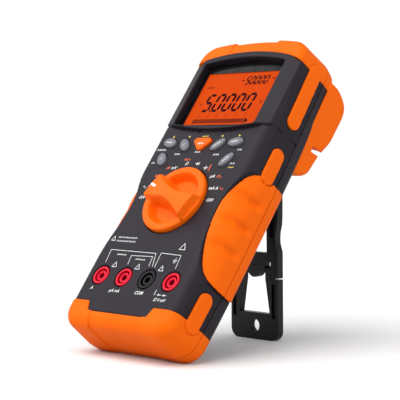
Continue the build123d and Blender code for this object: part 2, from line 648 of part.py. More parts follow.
def make_board(room):
    """Main circuit board."""
    board = room & slab((-FAR, 5, BOARD_TOP_Z - BOARD_THICKNESS), (FAR, LENGTH, BOARD_TOP_Z))
    for name in JACKS:
        board = board - disc(jack_x(name), JACK_Y, JACK_SLEEVE_R + 0.3, -20, 0)
    for x, y in CASE_SCREWS:
        board = board - disc(x, y, BOSS_R + 0.4, -20, 0)
    for x, y in BOARD_SCREWS:
        board = board - disc(x, y, SCREW_R + 0.1, -20, 0)
    return board


def screw(x, y, head_z, tip_z, head_r=SCREW_HEAD_R):
    """Pan-head screw driven in from the rear, with a cross recess."""
    head = disc(x, y, head_r, head_z, head_z + 1.8)
    head = fillet(head.faces().sort_by(Axis.Z)[0].edges(), 0.6)
    recess = Pos(x, y, head_z) * (Box(head_r * 1.1, 0.7, 1.6) + Box(0.7, head_r * 1.1, 1.6))
    return head + disc(x, y, SCREW_R, head_z + 1.8, tip_z) - recess


def make_rotor_parts():
    """Pieces of the rotary switch: contact carrier, wipers, detent ring and detent spring."""
    carrier = disc(0, KNOB_Y, ROTOR_R, ROTOR_Z - 1.0, ROTOR_Z) + disc(0, KNOB_Y, 8.0, ROTOR_Z, ROTOR_Z + 1.6)
    carrier = carrier - disc(0, KNOB_Y, SHAFT_R, ROTOR_Z, ROTOR_Z + 3)
    wipers = []
    for radius in (10.0, 13.0, 15.6):
        ring = disc(0, KNOB_Y, radius + 0.8, ROTOR_Z - 1.6, ROTOR_Z - 1.0)
        ring = ring - disc(0, KNOB_Y, radius - 0.8, -20, 0)
        wipers.append(ring & Pos(0, KNOB_Y, 0) * Rot(0, 0, POINTER_ANGLE) * slab((0, -6, -20), (20, 6, 0)))
    ring_low = WELL_Z - WELL_FLOOR - 1.4
    detent = disc(0, KNOB_Y, 16.4, ring_low, WELL_Z - WELL_FLOOR) - disc(0, KNOB_Y, 12.8, -20, 0)
    for step in range(2 * DETENT_POSITIONS - 2):
        turn = math.radians(step * POSITION_STEP)
        detent = detent - disc(12.8 * math.cos(turn), KNOB_Y + 12.8 * math.sin(turn), 1.2, -20, 0)
    leaf = slab((-11.0, -2.0, ROTOR_Z + 0.02), (-8.2, 2.0, -5.0))
    leaf = Pos(0, KNOB_Y, 0) * Rot(0, 0, POINTER_ANGLE) * leaf
    turn = math.radians(POINTER_ANGLE)
    tooth = disc(-11.4 * math.cos(turn), KNOB_Y - 11.4 * math.sin(turn), 1.0, ROTOR_Z + 0.02, -5.0)
    return {"switch_rotor": carrier, "switch_wipers": Compound(children=wipers), "detent_ring": detent,
            "detent_spring": leaf + tooth}


def make_fuse_clips():
    """Four spring clips on the floor of the battery bay, two for each fuse."""
    clips = []
    for side, length in FUSES.values():
        for end in (-1, 1):
            y = FUSE_MID_Y + end * (length / 2 - 4.5)
            outer = Pos(side * FUSE_X, y, FUSE_Z) * Rot(90, 0, 0) * Cylinder(FUSE_R + 0.6, 6.0)
            inner = Pos(side * FUSE_X, y, FUSE_Z) * Rot(90, 0, 0) * Cylinder(FUSE_R + 0.05, 7.0)
            mouth = Pos(side * FUSE_X, y, FUSE_Z - 5.2) * Box(9.0, 8.0, 6.0)
            x = side * FUSE_X
            foot = slab((x - 2.4, y - 3, FUSE_Z + FUSE_R + 0.3), (x + 2.4, y + 3, TRAY_FLOOR_Z))
            clips.append(outer - inner - mouth + (foot - inner))
    return Compound(children=clips)


def make_fuse(name):
    """Cartridge fuse: ceramic tube between two end caps, as (tube, caps)."""
    side, length = FUSES[name]
    axis = Pos(side * FUSE_X, FUSE_MID_Y, FUSE_Z) * Rot(90, 0, 0)
    cap = 9.0
    tube = axis * Cylinder(FUSE_R - 0.25, length - 2 * cap)
    caps = [axis * Pos(0, 0, end * (length - cap) / 2) * Cylinder(FUSE_R, cap) for end in (-1, 1)]
    return tube + caps


def make_battery():
    """Nine-volt block battery with its two snap studs."""
    low, high = BATTERY
    block = slab(low, high)
    block = fillet(block.edges().filter_by(Axis.Y), 2.6)
    middle_z = (low[2] + high[2]) / 2
    terminals = ((-6.35, 2.9), (6.35, 3.6))
    studs = [Pos(x, high[1] + 1.2, middle_z) * Rot(90, 0, 0) * Cylinder(r, 2.4) for x, r in terminals]
    return block + studs


def make_snap():
    """Snap connector on the battery's studs, with room for them."""
    high = BATTERY[1]
    middle_z = (BATTERY[0][2] + high[2]) / 2
    block = slab((-12.6, high[1] + 0.1, middle_z - 5.6), (12.6, high[1] + 4.2, middle_z + 5.6))
    block = fillet(block.edges().filter_by(Axis.Y), 3.0)
    for x, radius in ((-6.35, 2.9), (6.35, 3.6)):
        pocket = Pos(x, high[1] + 1.3, middle_z) * Rot(90, 0, 0) * Cylinder(radius + 0.05, 2.8)
        block = block - pocket
    return block


def make_cover():
    """Battery and fuse cover with its locating rim and finger recess."""
    plate = slab((-BAY_HALF_X - 1 + COVER_GAP, BAY_LOW_Y - 1 + COVER_GAP, REAR_Z),
                 (BAY_HALF_X + 1 - COVER_GAP, BAY_HIGH_Y + 1 - COVER_GAP, REAR_Z + 1.75))
    plate = fillet(plate.edges().filter_by(Axis.Z), 1.0)
    rim = slab((-BAY_HALF_X + 0.3, BAY_LOW_Y + 0.3, REAR_Z + 1.5),
               (BAY_HALF_X - 0.3, BAY_HIGH_Y - 0.3, REAR_Z + 3.4))
    rim = rim - slab((-BAY_HALF_X + 1.6, BAY_LOW_Y + 1.6, REAR_Z), (BAY_HALF_X - 1.6, BAY_HIGH_Y - 1.6, 0))
    rim = rim - slab((-5.6, BAY_HIGH_Y - 12, REAR_Z), (5.6, BAY_HIGH_Y, 0))
    head_room = disc(0, COVER_SCREW_Y, SCREW_HEAD_R + 0.3, -FAR, REAR_Z + 1.0)
    hole = disc(0, COVER_SCREW_Y, SCREW_R + PIN_CLEARANCE, -FAR, 0)
    ridges = [slab((-9, y, REAR_Z - 0.4), (9, y + 0.9, REAR_Z + 0.5)) for y in (50.0, 53.0, 56.0)]
    return plate + rim + ridges - head_room - hole


def make_cover_screw():
    """Quarter-turn stud of the cover, with a coin slot."""
    head = disc(0, COVER_SCREW_Y, SCREW_HEAD_R, REAR_Z, REAR_Z + 0.95)
    slot = Pos(0, COVER_SCREW_Y, REAR_Z) * Box(4.4, 0.9, 1.0)
    return head + disc(0, COVER_SCREW_Y, SCREW_R, REAR_Z + 0.95, -23.0) - slot


# ---------------------------------------------------------------- stand, drawn hanging straight down

def leg_outline(length):
    """Right half of the stand's frame, from the pin down to the gap at the tip hinge."""
    low = TIP_GAP_Y + TIP_GAP - length
    waist = -0.55 * length
    edge = Spline((STAND_HALF, low + 12), (STAND_HALF - 0.2, low + 16), (STAND_WAIST_HALF, waist + 6),
                  (STAND_WAIST_HALF, waist + 14), (STAND_HALF, waist + 30), tangents=[(0, 1), (0, 1)])
    lines = Polyline((STAND_HALF, waist + 30), (STAND_HALF, 0), (STAND_WINDOW_HALF, 0),
                     (STAND_WINDOW_HALF, low), (STAND_HALF, low), (STAND_HALF, low + 12))
    return make_face(edge.edges() + lines.edges())


def make_stand_frame(length):
    """Two legs, top bar, cross bar with its tongue, and the hub around the pin."""
    half = STAND_THICKNESS / 2
    leg = extrude(Pos(0, 0, -half) * leg_outline(length), STAND_THICKNESS, dir=(0, 0, 1))
    leg = leg + bar_x(0, 0, HUB_R, STAND_WINDOW_HALF, STAND_HALF)
    frame = both_sides(leg)
    cross_low = TIP_PIVOT_Y - 1.2 - length
    frame = frame + slab((-12, cross_low, -half), (12, cross_low + 11.4, half))
    frame = frame + slab((-12, -15.5, -half), (12, -5.5, half))
    frame = frame + disc(0, cross_low + 2.0, 5.6, -half, half)
    for sign in (1, -1):
        inner, outer = sorted((sign * 12.6, sign * 16.6))
        pocket = slab((inner, -0.46 * length, half - 1.2), (outer, -9, half + 1))
        frame = frame - fillet(pocket.edges().filter_by(Axis.Z), 1.6)
        knuckle = sorted(sign * x for x in (KNUCKLE_HALF[0] - 0.3, KNUCKLE_HALF[1] + 0.3))
        room_low = TIP_GAP_Y - 4 - length
        room_high = TIP_PIVOT_Y + 4.6 - length
        frame = frame - slab((knuckle[0], room_low, -FAR), (knuckle[1], room_high, FAR))
    recess = slab((-5.0, cross_low + 3.6, half - 1.0), (5.0, cross_low + 9.2, half + 1))
    frame = frame - fillet(recess.edges().filter_by(Axis.Z), 1.2)
    frame = frame - bar_x(0, 0, STAND_PIN_R + PIN_CLEARANCE, -30, 30)
    for span in ((-16.0, -7.2), (7.2, 16.0)):
        frame = frame - bar_x(TIP_PIVOT_Y - length, 0, TIP_PIN_R, *span)
    return frame


def make_stand_tip(length):
    """Foot of the stand: a fork that bends at the tip hinge, with the hanging hole."""
    half = STAND_THICKNESS / 2
    low = -length
    right = [(STAND_HALF, low), (STAND_HALF, low + TIP_GAP_Y), (KNUCKLE_HALF[0], low + TIP_GAP_Y),
             (12.4, low + TIP_BASE)]
    plate = make_face(Polyline(*right, *[(-x, y) for x, y in reversed(right)], close=True))
    plate = fillet(plate.vertices().group_by(Axis.Y)[0], FOOT_CORNER_R)
    tip = extrude(Pos(0, 0, -half) * plate, STAND_THICKNESS, dir=(0, 0, 1))
    for sign in (1, -1):
        inner, outer = sorted(sign * x for x in KNUCKLE_HALF)
        tip = tip + slab((inner, low + TIP_GAP_Y - 1, -half), (outer, low + TIP_PIVOT_Y, half))
        tip = tip + bar_x(low + TIP_PIVOT_Y, 0, half, inner, outer)
        rail = sorted((sign * 14.0, sign * 17.4))
        pocket = slab((rail[0], low + TIP_BASE - 3, half - 1.2), (rail[1], low + TIP_GAP_Y - 3, half + 1))
        tip = tip - fillet(pocket.edges().filter_by(Axis.Z), 1.5)
    tip = tip - bar_x(low + TIP_PIVOT_Y, 0, TIP_PIN_R + PIN_CLEARANCE, -30, 30)
    return tip - disc(0, low + HANG_HOLE_Y, HANG_HOLE_R, -FAR, FAR)


def make_stand_pins(length):
    """Main pin and the two short pins of the tip hinge."""
    reach = STAND_HALF + EAR_GAP + EAR_WIDTH - 1.1
    main = bar_x(0, 0, STAND_PIN_R, -reach, reach)
    spans = ((-15.9, -7.3), (7.3, 15.9))
    short = [bar_x(TIP_PIVOT_Y - length, 0, TIP_PIN_R, *span) for span in spans]
    return main, Compound(children=short)


# ---------------------------------------------------------------- assembly

def build_all():
    """Every piece in the case frame, as {node name: shape}."""
    core = drafted_block(CORE_INSET, -1.0, REAR_Z + CORE_INSET, CORE_FILLET)
    hard = hard_shape(core)
    room = cavity()
    rubber = make_rubber(core)
    nodes = {
        "front_case": make_front_case(hard, room, rubber.values()),
        "rear_case": make_rear_case(hard, room, rubber.values()),
    }
    for name, solid in rubber.items():
        nodes[name + "_front"] = solid & front_half
        nodes[name + "_rear"] = solid & rear_half
    nodes.update(make_display())
    nodes["selector_knob"] = make_knob()
    mark = Pos(0, KNOB_Y, 0) * Rot(0, 0, POINTER_ANGLE) * Pos(KNOB_R - 3.4, 0, 5.0) * Box(4.2, 2.0, 3.0)
    nodes["pointer_mark"] = mark
    nodes["selector_knob"] = nodes["selector_knob"] - mark
    nodes.update(make_rotor_parts())
    for name, plan in all_key_plans().items():
        nodes[name] = make_key(name, plan)
    nodes["keypad_sheet"] = make_keypad()
    for name in JACKS:
        nodes[name] = make_jack(name)
    nodes["jack_sockets"] = make_sockets()
    nodes["main_board"] = make_board(cavity(0.4))
    nodes["shield_can"] = slab((-28, 118.0, -13.2), (28, 176.0, BOARD_TOP_Z - BOARD_THICKNESS))
    nodes["buzzer"] = disc(0, 17.5, 8.0, -13.4, BOARD_TOP_Z - BOARD_THICKNESS)
    window = Pos(0, 172, 0) * RectangleRounded(21.8, 8.8, 1.9)
    nodes["infrared_window"] = raised(window, REAR_Z + 0.1, REAR_Z + 5.0)
    nodes["case_screws"] = Compound(children=[screw(x, y, REAR_Z + 1.2, -10.0) for x, y in CASE_SCREWS])
    board_low = BOARD_TOP_Z - BOARD_THICKNESS
    small_screws = [screw(x, y, board_low - 1.8, -4.5, 2.2) for x, y in BOARD_SCREWS]
    nodes["board_screws"] = Compound(children=small_screws)
    nodes["battery"] = make_battery()
    nodes["battery_snap"] = make_snap()
    for name in FUSES:
        nodes[name] = make_fuse(name)
    nodes["fuse_clips"] = make_fuse_clips()
    nodes["battery_cover"] = make_cover()
    nodes["cover_stud"] = make_cover_screw()
    return nodes


def lean_back(shape):
    return Rot(LEAN, 0, 0) * shape


nodes = {name: lean_back(shape) for name, shape in build_all().items()}
floor_z = nodes["bottom_bumper_rear"].bounding_box().min.Z
pivot = lean_back(Vertex(0, PIVOT_Y, PIVOT_Z)).center()
stand_length = pivot.Z - floor_z
hang = Pos(pivot.X, pivot.Y, pivot.Z) * Rot(90, 0, 0)
stand_pin, tip_pins = make_stand_pins(stand_length)
stand = {"stand_frame": make_stand_frame(stand_length), "stand_tip": make_stand_tip(stand_length),
         "stand_pin": stand_pin, "tip_pins": tip_pins}
for name, shape in stand.items():
    nodes[name] = hang * shape

box = Compound(children=[s for shape in nodes.values() for s in shape.solids()]).bounding_box()
shift = Pos(0, -(box.min.Y + box.max.Y) / 2, -floor_z)
os.makedirs("parts", exist_ok=True)
for name, shape in nodes.items():
    export_step(shift * shape, f"parts/{name}.step")

print("nodes:", len(nodes), " size:", box.size)
print("case origin in the placed frame:", shift.position)
print("stand pivot:", (shift * Pos(*pivot)).position, " length:", round(stand_length, 2))
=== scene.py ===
import json
import math

import bmesh
import bpy
import numpy as np
from mathutils import Matrix, Vector


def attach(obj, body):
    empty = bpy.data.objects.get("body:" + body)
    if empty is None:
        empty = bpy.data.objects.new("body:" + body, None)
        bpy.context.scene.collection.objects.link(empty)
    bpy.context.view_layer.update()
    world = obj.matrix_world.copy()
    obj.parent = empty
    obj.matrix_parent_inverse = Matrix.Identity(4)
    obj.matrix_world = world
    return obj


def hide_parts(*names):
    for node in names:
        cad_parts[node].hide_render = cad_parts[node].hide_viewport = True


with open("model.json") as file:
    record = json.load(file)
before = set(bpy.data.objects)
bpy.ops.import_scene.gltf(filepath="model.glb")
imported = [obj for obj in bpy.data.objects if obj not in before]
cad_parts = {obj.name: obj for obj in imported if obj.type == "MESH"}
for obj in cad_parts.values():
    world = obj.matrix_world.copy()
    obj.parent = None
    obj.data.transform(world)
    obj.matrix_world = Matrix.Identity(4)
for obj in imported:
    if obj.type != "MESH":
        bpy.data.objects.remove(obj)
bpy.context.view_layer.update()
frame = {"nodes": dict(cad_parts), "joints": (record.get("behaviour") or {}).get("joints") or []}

# Looks of a hand-held digital multimeter on its folding stand. Small shapes are drawn in the case's own
# frame, in millimetres: x across the face, y up the face, z out of the face. CASE takes them to the shared
# frame.

MM = 0.001
KNOB_Y = 85.3
KNOB_TURN = math.radians(160.0)
JOINTS = {j["name"]: j for j in frame["joints"]}
NODES = frame["nodes"]

face_out = Vector(JOINTS["selector_turn"]["axis"]).normalized()
face_right = Vector((1.0, 0.0, 0.0))
face_up = face_out.cross(face_right).normalized()
knob_place = Vector(JOINTS["selector_turn"]["pos_m"])
case_origin = knob_place - face_up * KNOB_Y * MM
CASE = Matrix((
    (face_right.x * MM, face_up.x * MM, face_out.x * MM, case_origin.x),
    (face_right.y * MM, face_up.y * MM, face_out.y * MM, case_origin.y),
    (face_right.z * MM, face_up.z * MM, face_out.z * MM, case_origin.z),
    (0.0, 0.0, 0.0, 1.0)))


# ------------------------------------------------------------------ materials

def linear(r, g, b):
    """Linear colour from 0-255 display values."""
    out = []
    for v in (r, g, b):
        v = v / 255.0
        out.append(v / 12.92 if v <= 0.04045 else ((v + 0.055) / 1.055) ** 2.4)
    return (*out, 1.0)


def surface(name, dark, light, rough=(0.4, 0.5), grain=900.0, bump=0.00004, patch=60.0, **sockets):
    """Principled material: colour drifts between two tones, fine grain in roughness and height."""
    material = bpy.data.materials.new(name)
    material.use_nodes = True
    tree = material.node_tree
    shader = tree.nodes["Principled BSDF"]
    for key, value in sockets.items():
        shader.inputs[key.replace("_", " ")].default_value = value
    place = tree.nodes.new("ShaderNodeTexCoord")
    wide = tree.nodes.new("ShaderNodeTexNoise")
    wide.inputs["Scale"].default_value = patch
    wide.inputs["Detail"].default_value = 3.0
    fine = tree.nodes.new("ShaderNodeTexNoise")
    fine.inputs["Scale"].default_value = grain
    fine.inputs["Detail"].default_value = 4.0
    fine.inputs["Roughness"].default_value = 0.6
    tones = tree.nodes.new("ShaderNodeMix")
    tones.data_type = "RGBA"
    tones.inputs[6].default_value = dark
    tones.inputs[7].default_value = light
    gloss = tree.nodes.new("ShaderNodeMapRange")
    gloss.inputs["From Min"].default_value = 0.3
    gloss.inputs["From Max"].default_value = 0.7
    gloss.inputs["To Min"].default_value = rough[0]
    gloss.inputs["To Max"].default_value = rough[1]
    relief = tree.nodes.new("ShaderNodeBump")
    relief.inputs["Strength"].default_value = 1.0
    relief.inputs["Distance"].default_value = bump
    link = tree.links.new
    link(place.outputs["Object"], wide.inputs["Vector"])
    link(place.outputs["Object"], fine.inputs["Vector"])
    link(wide.outputs["Fac"], tones.inputs[0])
    link(tones.outputs[2], shader.inputs["Base Color"])
    link(fine.outputs["Fac"], gloss.inputs["Value"])
    link(gloss.outputs["Result"], shader.inputs["Roughness"])
    link(fine.outputs["Fac"], relief.inputs["Height"])
    link(relief.outputs["Normal"], shader.inputs["Normal"])
    return material


def glow(name, dark, light, strength, patch):
    """Backlit surface: the same two tones drive colour and emission."""
    material = surface(name, dark, light, rough=(0.5, 0.6), grain=400.0, bump=0.000002, patch=patch,
                       Specular_IOR_Level=0.02)
    tree = material.node_tree
    shader = tree.nodes["Principled BSDF"]
    colour = shader.inputs["Base Color"].links[0].from_socket
    tree.links.new(colour, shader.inputs["Emission Color"])
    shader.inputs["Emission Strength"].default_value = strength
    return material


MAT = {
    "case": surface("case_plastic", linear(26, 22, 28), linear(31, 27, 34), (0.42, 0.5), 1600, 0.00003,
                    Specular_IOR_Level=0.12),
    "rubber": surface("orange_rubber", linear(212, 86, 1), linear(219, 93, 3), (0.5, 0.6), 1300, 0.00003,
                      Specular_IOR_Level=0.06),
    "knob": surface("knob_orange", linear(218, 86, 2), linear(225, 93, 4), (0.42, 0.5), 1100, 0.00002,
                    Specular_IOR_Level=0.08),
    "key": surface("key_grey", linear(92, 92, 100), linear(104, 104, 112), (0.32, 0.4), 1800, 0.00002,
                   Specular_IOR_Level=0.15),
    "key_orange": surface("key_orange", linear(222, 80, 2), linear(230, 90, 8), (0.36, 0.44), 1800, 0.00002,
                          Specular_IOR_Level=0.08),
    "mask": surface("mask_black", linear(8, 8, 10), linear(11, 11, 13), (0.12, 0.18), 600, 0.000004,
                    Specular_IOR_Level=0.2),
    "white": surface("white_plastic", linear(205, 205, 200), linear(222, 222, 216), (0.4, 0.5), 1200,
                     0.00002),
    "mark": surface("white_print", linear(196, 196, 194), linear(206, 206, 204), (0.4, 0.5), 2500, 0.000006),
    "mark_orange": surface("orange_print", linear(214, 80, 10), linear(222, 88, 14), (0.4, 0.5), 2500,
                           0.000006),
    "mark_yellow": surface("yellow_print", linear(196, 168, 6), linear(206, 178, 12), (0.4, 0.5), 2500,
                           0.000006),
    "elastomer": surface("elastomer", linear(88, 88, 90), linear(110, 110, 112), (0.6, 0.7), 2200, 0.00003),
    "brass": surface("nickel_contact", linear(96, 88, 74), linear(128, 118, 98), (0.28, 0.4), 2600, 0.00001,
                     Metallic=1.0),
    "jack_red": surface("jack_red", linear(190, 8, 36), linear(202, 12, 44), (0.34, 0.42), 900, 0.00001,
                        Specular_IOR_Level=0.12),
    "jack_black": surface("jack_black", linear(9, 9, 10), linear(14, 14, 15), (0.34, 0.42), 900, 0.00001,
                          Specular_IOR_Level=0.15),
    "board": surface("solder_mask", linear(14, 74, 40), linear(22, 96, 52), (0.25, 0.4), 700, 0.00002),
    "steel": surface("screw_steel", linear(150, 150, 152), linear(186, 186, 188), (0.25, 0.4), 2400, 0.00001,
                     Metallic=1.0),
    "tin": surface("tin_plate", linear(170, 172, 174), linear(206, 206, 206), (0.3, 0.45), 500, 0.00002,
                   Metallic=1.0),
    "black": surface("black_plastic", linear(22, 22, 24), linear(32, 32, 34), (0.4, 0.5), 1500, 0.00003),
    "stand": surface("stand_black", linear(9, 9, 11), linear(15, 15, 17), (0.3, 0.4), 1500, 0.00003,
                     Specular_IOR_Level=0.2),
    "can": surface("battery_can", linear(30, 30, 40), linear(50, 50, 62), (0.2, 0.3), 300, 0.00001,
                   Metallic=0.6),
    "ceramic": surface("ceramic", linear(214, 208, 196), linear(232, 228, 218), (0.2, 0.3), 600, 0.00001),
    "window": surface("window_red", linear(30, 4, 8), linear(42, 6, 12), (0.06, 0.1), 300, 0.000002),
    "backlight": glow("backlight", linear(255, 96, 0), linear(255, 120, 10), 0.6, 20.0),
    "lcd": glow("lcd_orange", linear(146, 42, 0), linear(153, 51, 0), 1.25, 14.0),
    "segment": surface("lcd_segment", linear(26, 0, 7), linear(34, 2, 10), (0.5, 0.6), 1500, 0.000002,
                       Specular_IOR_Level=0.02),
}


def clear_lens():
    """Acrylic window: clear through, with a smooth gloss that varies faintly."""
    material = bpy.data.materials.new("clear_lens")
    material.use_nodes = True
    tree = material.node_tree
    shader = tree.nodes["Principled BSDF"]
    shader.inputs["Base Color"].default_value = (0.0, 0.0, 0.0, 1.0)
    shader.inputs["IOR"].default_value = 1.45
    shader.inputs["Alpha"].default_value = 0.06
    shader.inputs["Specular IOR Level"].default_value = 0.1
    noise = tree.nodes.new("ShaderNodeTexNoise")
    noise.inputs["Scale"].default_value = 40.0
    gloss = tree.nodes.new("ShaderNodeMapRange")
    gloss.inputs["To Min"].default_value = 0.12
    gloss.inputs["To Max"].default_value = 0.2
    tree.links.new(noise.outputs["Fac"], gloss.inputs["Value"])
    tree.links.new(gloss.outputs["Result"], shader.inputs["Roughness"])
    return material


MAT["lens"] = clear_lens()

NODE_MATERIALS = {
    "case": ["rear_case", "battery_cover"],
    "lens": ["display_lens"],
    "mask": ["display_mask"],
    "lcd": ["lcd_cell"],
    "backlight": ["lcd_backlight"],
    "white": ["lcd_frame", "switch_rotor", "detent_ring"],
    "elastomer": ["contact_strips", "keypad_sheet"],
    "brass": ["switch_wipers", "jack_sockets", "fuse_clips"],
    "steel": ["detent_spring", "case_screws", "board_screws", "cover_stud", "stand_pin", "tip_pins"],
    "jack_red": ["jack_amp", "jack_milliamp", "jack_volt"],
    "jack_black": ["jack_common"],
    "board": ["main_board"],
    "tin": ["shield_can"],
    "black": ["buzzer", "battery_snap"],
    "window": ["infrared_window"],
    "can": ["battery"],
    "ceramic": ["fuse_amp", "fuse_milliamp"],
    "stand": ["stand_frame", "stand_tip"],
}


def paint(obj, material):
    obj.data.materials.clear()
    obj.data.materials.append(material)


for look, names in NODE_MATERIALS.items():
    for node_name in names:
        paint(NODES[node_name], MAT[look])


# ------------------------------------------------------------------ mesh helpers

def new_object(name, mesh, body, material):
    obj = bpy.data.objects.new(name, mesh)
    bpy.context.scene.collection.objects.link(obj)
    paint(obj, material)
    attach(obj, body)
    return obj


def finished(obj):
    """The object's mesh with its modifiers applied."""
    graph = bpy.context.evaluated_depsgraph_get()
    mesh = bpy.data.meshes.new_from_object(obj.evaluated_get(graph))
    bpy.data.objects.remove(obj)
    return mesh


def smooth_shade(mesh):
    mesh.polygons.foreach_set("use_smooth", [True] * len(mesh.polygons))


WELD_DISTANCE = 1e-4
SMOOTHING = 0.5


def relax(co, edges, rounds):
    """Laplacian smoothing: each round moves every point part of the way to the mean of its neighbours."""
    count = np.bincount(edges.ravel(), minlength=len(co)).astype(float)[:, None]
    a, b = edges[:, 0], edges[:, 1]
    for _ in range(rounds):
        total = np.zeros_like(co)
        for axis in range(3):
            total[:, axis] = np.bincount(a, co[b, axis], len(co)) + np.bincount(b, co[a, axis], len(co))
        co = co + SMOOTHING * (total / np.maximum(count, 1) - co)
    return co


def soft_copy(name, node, body, material, voxel, rounds, shape=None):
    """Copy of a CAD node with rounded edges: voxels in the case frame, then smoothing, then shape(points)."""
    mesh = NODES[node].data.copy()
    mesh.transform(CASE.inverted())
    work = bmesh.new()
    work.from_mesh(mesh)
    bmesh.ops.remove_doubles(work, verts=work.verts, dist=WELD_DISTANCE)
    work.to_mesh(mesh)
    work.free()
    obj = bpy.data.objects.new(name + "_work", mesh)
    bpy.context.scene.collection.objects.link(obj)
    remesh = obj.modifiers.new("voxels", "REMESH")
    remesh.mode = "VOXEL"
    remesh.voxel_size = voxel
    mesh = finished(obj)
    co = np.empty(len(mesh.vertices) * 3)
    mesh.vertices.foreach_get("co", co)
    co = co.reshape(-1, 3)
    edges = np.empty(len(mesh.edges) * 2, int)
    mesh.edges.foreach_get("vertices", edges)
    edges = edges.reshape(-1, 2)
    co = relax(co, edges, rounds)
    if shape:
        co = shape(co)
    mesh.vertices.foreach_set("co", co.ravel())
    mesh.transform(CASE)
    mesh.name = name
    smooth_shade(mesh)
    obj = new_object(name, mesh, body, material)
    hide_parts(node)


def ramp(x, low, high):
    """0 below low, 1 above high, smooth between."""
    t = np.clip((x - low) / (high - low), 0.0, 1.0)
    return t * t * (3.0 - 2.0 * t)


FINGER_YS = (62.0, 78.0, 94.0)
DIMPLE_DEPTH = 1.9
DIMPLE_WIDTH = 2.7
GRIP_CENTRE_X, GRIP_CENTRE_Z = 24.0, -24.0     # the axis that the grip's outside bends round


def finger_dimples(co):
    """Broad soft hollows for the fingers, from the grip's front slope round to the parting line."""
    co = co.copy()
    side = np.sign(co[:, 0])
    x, z = np.abs(co[:, 0]), co[:, 2]
    out_x, out_z = x - GRIP_CENTRE_X, z - GRIP_CENTRE_Z
    length = np.maximum(np.hypot(out_x, out_z), 1.0)
    around = np.degrees(np.arctan2(out_z, out_x))
    window = ramp(around, 8.0, 20.0) * (1.0 - ramp(around, 44.0, 62.0))
    depth = np.zeros(len(co))
    for y in FINGER_YS:
        depth += DIMPLE_DEPTH * np.exp(-((co[:, 1] - y) / DIMPLE_WIDTH) ** 2)
    depth *= window
    co[:, 0] -= side * depth * out_x / length
    co[:, 2] -= depth * out_z / length
    return co


# ------------------------------------------------------------------ rubber, case and knob

RUBBER_VOXEL = 0.33
CASE_VOXEL = 0.42
KEY_VOXEL = 0.16

for part in ("top_bumper", "bottom_bumper", "grip_right", "grip_left"):
    for half in ("front", "rear"):
        node_name = f"{part}_{half}"
        dimpled = part.startswith("grip") and half == "front"
        soft_copy("soft_" + node_name, node_name, "case", MAT["rubber"],
                  RUBBER_VOXEL, rounds=8 if dimpled else 4, shape=finger_dimples if dimpled else None)
soft_copy("soft_front_case", "front_case", "case", MAT["case"], CASE_VOXEL, rounds=2,
          shape=finger_dimples)

KNOB_R = 21.6
KNOB_FOOT_Z = -2.4
RIM_Z = 2.8
RIM_INNER_R = 18.0
SCOOP_Z = -2.2
CREST_Z = 8.3
NOSE_Z = 6.2
RIM_ROUND = 1.3
KNOB_WALL_Z = 0.3
KNOB_STEP_Z = 0.25
NOSE_REACH = 1.1


def knob_height(u, v):
    """Top surface of the knob: rim, two scoops, and the waisted finger bar along u with its pointer at +u."""
    r = np.hypot(u, v)
    rim = SCOOP_Z + (RIM_Z - SCOOP_Z) * ramp(r, RIM_INNER_R - 4.2, RIM_INNER_R)
    rounding = np.clip((r - KNOB_R + RIM_ROUND) / RIM_ROUND, 0, 1)
    rim = rim - RIM_ROUND * (1.0 - np.sqrt(np.clip(1.0 - rounding ** 2, 0, 1)))
    half = 3.6 + 3.4 * (np.abs(u) / 18.0) ** 1.6
    crest = CREST_Z - (CREST_Z - NOSE_Z) * ramp(u, 2.0, 17.0) - 0.5 * ramp(-u, 4.0, 18.0)
    crest = crest - (crest - RIM_Z) * ramp(-u, KNOB_R - 2.6, KNOB_R - 1.2)
    crest = crest - 2.2 * ramp(u, KNOB_R - 1.6, KNOB_R + 1.0)
    saddle = crest - 0.5 * np.clip(np.abs(v) / half, 0, 1) ** 2
    share = 1.0 - ramp(np.abs(v), half - 0.6, half + 3.0 - 1.4 * ramp(np.abs(u), 12.0, 18.0))
    return rim + np.clip(saddle - rim, 0, None) * share


def knob_mesh():
    """The knob as rings of points: the top, the side wall with the pointer's nose, and the flat foot."""
    steps = 360
    rings = 120
    angle = np.arange(steps) * 2 * math.pi / steps
    bend = (angle + math.pi) % (2 * math.pi) - math.pi
    nose = NOSE_REACH * (1.0 - ramp(np.abs(bend) * KNOB_R, 2.6, 4.4))
    rim_r = KNOB_R + nose
    points = [(0.0, 0.0, float(knob_height(np.array(0.0), np.array(0.0))))]
    for i in range(1, rings + 1):
        radius = rim_r * i / rings
        u, v = radius * np.cos(angle), radius * np.sin(angle)
        points += list(zip(u, v, knob_height(u, v)))
    edge_x, edge_y = rim_r * np.cos(angle), rim_r * np.sin(angle)
    edge_z = knob_height(edge_x, edge_y)
    for share in (0.5, 1.0):
        points += list(zip(edge_x, edge_y, edge_z + (KNOB_WALL_Z - edge_z) * share))
    for z in (KNOB_STEP_Z, KNOB_FOOT_Z):
        points += [(KNOB_R * math.cos(a), KNOB_R * math.sin(a), z) for a in angle]
    ring_count = rings + 4
    faces = [(0, 1 + j, 1 + (j + 1) % steps) for j in range(steps)]
    for i in range(ring_count - 1):
        a, b = 1 + i * steps, 1 + (i + 1) * steps
        faces += [(a + j, b + j, b + (j + 1) % steps, a + (j + 1) % steps) for j in range(steps)]
    last = 1 + (ring_count - 1) * steps
    faces.append(tuple(last + j for j in reversed(range(steps))))
    mesh = bpy.data.meshes.new("soft_knob")
    mesh.from_pydata(points, [], faces)
    return mesh


KNOB = CASE @ Matrix.Translation((0.0, KNOB_Y, 0.0)) @ Matrix.Rotation(KNOB_TURN, 4, "Z")
knob_shape = knob_mesh()
knob_shape.transform(KNOB)
smooth_shade(knob_shape)
knob_object = new_object("soft_knob", knob_shape, "selector", MAT["knob"])
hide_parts("selector_knob")


